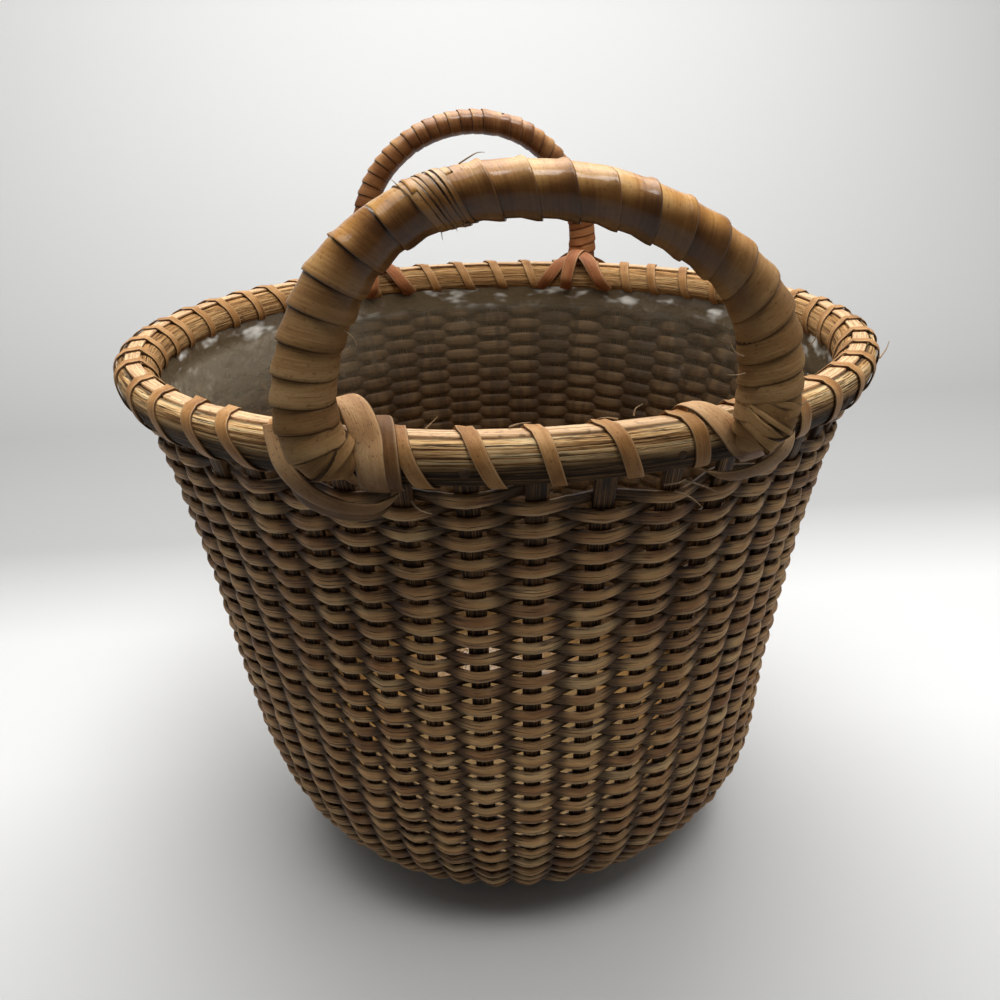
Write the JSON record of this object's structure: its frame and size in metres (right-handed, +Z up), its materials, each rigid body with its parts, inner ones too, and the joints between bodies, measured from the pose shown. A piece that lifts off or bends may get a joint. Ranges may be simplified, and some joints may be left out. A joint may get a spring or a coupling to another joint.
{
  "type": "round woven basket",
  "caption": "Round woven cane basket with a flared lashed rim, a turned wooden bottom plate, a clear film lining and two arched handles wrapped in cane.",
  "frame": {"origin": "centre of the underside of the bottom plate, where the basket stands", "axes": "+Z up through the open top; the handles stand at -Y (front, the lower one) and at +Y (back)"},
  "size_m": [0.2592, 0.2662, 0.2798],
  "materials": {
    "plate": "turned wood, waxed",
    "stave": "split rattan stave, aged dark",
    "weave": "flat oval cane, grey brown, satin",
    "hoop": "split rattan with open grain streaks",
    "cap": "flat cane, pale tan",
    "lashing": "flat binder cane, satin",
    "pole": "bent rattan pole",
    "wrap": "broad binder cane, satin skin side out",
    "film": "thin clear film, creased"
  },
  "bodies": {
    "root": {"base_plate": "plate", "woven_wall": "weave", "outer_hoop": "hoop", "inner_hoop": "hoop", "rim_cap": "cap", "rim_lashing_right": "lashing", "rim_lashing_left": "lashing", "handle_front": "pole", "handle_back": "pole", "handle_wrap_front": "wrap", "handle_wrap_back": "wrap", "liner": "film", "stave_01": "stave", "stave_02": "stave", "stave_03": "stave", "stave_04": "stave", "stave_05": "stave", "stave_06": "stave", "stave_07": "stave", "stave_08": "stave", "stave_09": "stave", "stave_10": "stave", "stave_11": "stave", "stave_12": "stave", "stave_13": "stave", "stave_14": "stave", "stave_15": "stave", "stave_16": "stave", "stave_17": "stave", "stave_18": "stave", "stave_19": "stave", "stave_20": "stave", "stave_21": "stave", "stave_22": "stave", "stave_23": "stave", "stave_24": "stave", "stave_25": "stave", "stave_26": "stave", "stave_27": "stave", "stave_28": "stave", "stave_29": "stave", "stave_30": "stave", "stave_31": "stave", "stave_32": "stave", "stave_33": "stave", "stave_34": "stave", "stave_35": "stave", "stave_36": "stave", "stave_37": "stave", "stave_38": "stave", "stave_39": "stave", "stave_40": "stave", "stave_41": "stave", "stave_42": "stave", "stave_43": "stave", "stave_44": "stave", "stave_45": "stave", "stave_46": "stave", "stave_47": "stave"}
  },
  "joints": []
}
